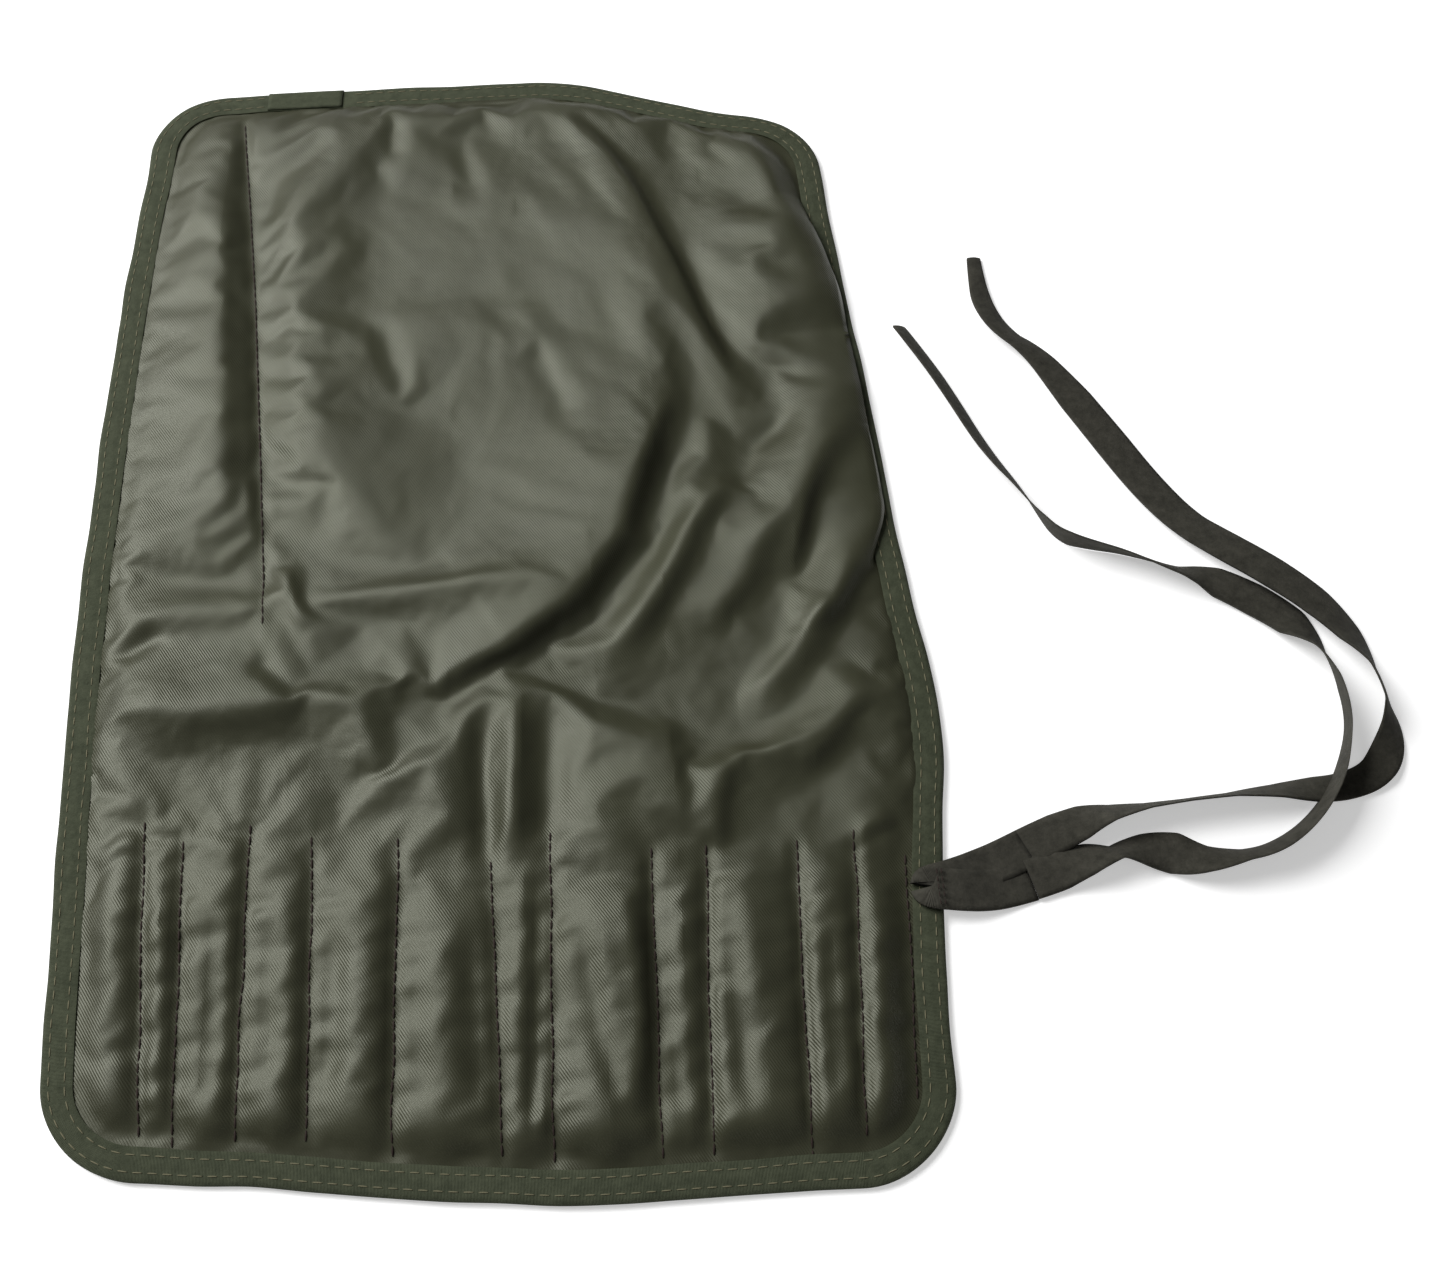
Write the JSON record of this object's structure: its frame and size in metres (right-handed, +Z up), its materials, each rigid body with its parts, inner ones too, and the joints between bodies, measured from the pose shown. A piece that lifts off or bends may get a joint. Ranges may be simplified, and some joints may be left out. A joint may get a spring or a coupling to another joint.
{
  "type": "brush roll case",
  "caption": "Roll-up cloth case for artists' brushes: coated shell, sewn inner pockets, taped edge and a folded tie, lying open with its outside face up",
  "frame": {"origin": "the middle of the open case on the surface it lies on, below its pocket side", "axes": "+X points to the edge with the tie, +Y to the top edge, away from the pockets' closed ends, and +Z up, out of the outside face"},
  "size_m": [0.415, 0.412, 0.011],
  "materials": {
    "coated_cloth": "olive drab nylon twill with a satin waterproof coating",
    "panel_cloth": "uncoated inner side of the same olive drab twill",
    "binding_tape": "dark green woven edge tape",
    "tie_tape": "dark brown olive woven cotton tape",
    "thread": "dark brown sewing thread"
  },
  "bodies": {
    "ties": {"tie_tail_front": "tie_tape", "tie_tail_back": "tie_tape"},
    "strip_01": {"shell_01": "coated_cloth", "pocket_01": "panel_cloth", "upper_panel_01": "panel_cloth", "binding_01": "binding_tape"},
    "strip_02": {"shell_02": "coated_cloth", "pocket_02": "panel_cloth", "upper_panel_02": "panel_cloth", "binding_02": "binding_tape"},
    "strip_03": {"shell_03": "coated_cloth", "pocket_03": "panel_cloth", "upper_panel_03": "panel_cloth", "binding_03": "binding_tape", "upper_seam_thread": "thread"},
    "strip_04": {"shell_04": "coated_cloth", "pocket_04": "panel_cloth", "upper_panel_04": "panel_cloth", "binding_04": "binding_tape", "binding_lap": "binding_tape"},
    "strip_05": {"shell_05": "coated_cloth", "pocket_05": "panel_cloth", "upper_panel_05": "panel_cloth", "binding_05": "binding_tape"},
    "strip_06": {"shell_06": "coated_cloth", "pocket_06": "panel_cloth", "upper_panel_06": "panel_cloth", "binding_06": "binding_tape"},
    "strip_07": {"shell_07": "coated_cloth", "pocket_07": "panel_cloth", "upper_panel_07": "panel_cloth", "binding_07": "binding_tape"},
    "strip_08": {"shell_08": "coated_cloth", "pocket_08": "panel_cloth", "upper_panel_08": "panel_cloth", "binding_08": "binding_tape"},
    "strip_09": {"shell_09": "coated_cloth", "pocket_09": "panel_cloth", "upper_panel_09": "panel_cloth", "binding_09": "binding_tape"},
    "strip_10": {"shell_10": "coated_cloth", "pocket_10": "panel_cloth", "upper_panel_10": "panel_cloth", "binding_10": "binding_tape"},
    "strip_11": {"shell_11": "coated_cloth", "pocket_11": "panel_cloth", "upper_panel_11": "panel_cloth", "binding_11": "binding_tape"},
    "strip_12": {"shell_12": "coated_cloth", "pocket_12": "panel_cloth", "upper_panel_12": "panel_cloth", "binding_12": "binding_tape", "tie_fold": "tie_tape", "tie_tack": "thread"}
  },
  "joints": [
    {"name": "roll_rise", "type": "slide", "parent": "ties", "child": "strip_12", "axis": [0, 0, 1], "range_m": [0, 0.0586]},
    {"name": "fold_11", "type": "hinge", "parent": "strip_12", "child": "strip_11", "pos_m": [0.1068, 0, 0], "axis": [0, -1, 0], "range_deg": [0, 46.5]},
    {"name": "fold_10", "type": "hinge", "parent": "strip_11", "child": "strip_10", "pos_m": [0.08967, 0, 0], "axis": [0, -1, 0], "range_deg": [0, 43.5]},
    {"name": "fold_09", "type": "hinge", "parent": "strip_10", "child": "strip_09", "pos_m": [0.06247, 0, 0], "axis": [0, -1, 0], "range_deg": [0, 45.5]},
    {"name": "fold_08", "type": "hinge", "parent": "strip_09", "child": "strip_08", "pos_m": [0.04635, 0, 0], "axis": [0, -1, 0], "range_deg": [0, 49.5]},
    {"name": "fold_07", "type": "hinge", "parent": "strip_08", "child": "strip_07", "pos_m": [0.01612, 0, 0], "axis": [0, -1, 0], "range_deg": [0, 53.5]},
    {"name": "fold_06", "type": "hinge", "parent": "strip_07", "child": "strip_06", "pos_m": [0, 0, 0], "axis": [0, -1, 0], "range_deg": [0, 57.5]},
    {"name": "fold_05", "type": "hinge", "parent": "strip_06", "child": "strip_05", "pos_m": [-0.03023, 0, 0], "axis": [0, -1, 0], "range_deg": [0, 73.5]},
    {"name": "fold_04", "type": "hinge", "parent": "strip_05", "child": "strip_04", "pos_m": [-0.05542, 0, 0], "axis": [0, -1, 0], "range_deg": [0, 69.5]},
    {"name": "fold_03", "type": "hinge", "parent": "strip_04", "child": "strip_03", "pos_m": [-0.07557, 0, 0], "axis": [0, -1, 0], "range_deg": [0, 67.5]},
    {"name": "fold_02", "type": "hinge", "parent": "strip_03", "child": "strip_02", "pos_m": [-0.0937, 0, 0], "axis": [0, -1, 0], "range_deg": [0, 53.5]},
    {"name": "fold_01", "type": "hinge", "parent": "strip_02", "child": "strip_01", "pos_m": [-0.10479, 0, 0], "axis": [0, -1, 0], "range_deg": [0, 84]}
  ],
  "couplings": [
    {"joint": "roll_rise", "follows": "fold_01", "m_per_rad": 0.039902},
    {"joint": "fold_11", "follows": "fold_01", "ratio": 0.54762},
    {"joint": "fold_10", "follows": "fold_01", "ratio": 0.51191},
    {"joint": "fold_09", "follows": "fold_01", "ratio": 0.53571},
    {"joint": "fold_08", "follows": "fold_01", "ratio": 0.58333},
    {"joint": "fold_07", "follows": "fold_01", "ratio": 0.63095},
    {"joint": "fold_06", "follows": "fold_01", "ratio": 0.67857},
    {"joint": "fold_05", "follows": "fold_01", "ratio": 0.86905},
    {"joint": "fold_04", "follows": "fold_01", "ratio": 0.82143},
    {"joint": "fold_03", "follows": "fold_01", "ratio": 0.79762},
    {"joint": "fold_02", "follows": "fold_01", "ratio": 0.63095}
  ]
}
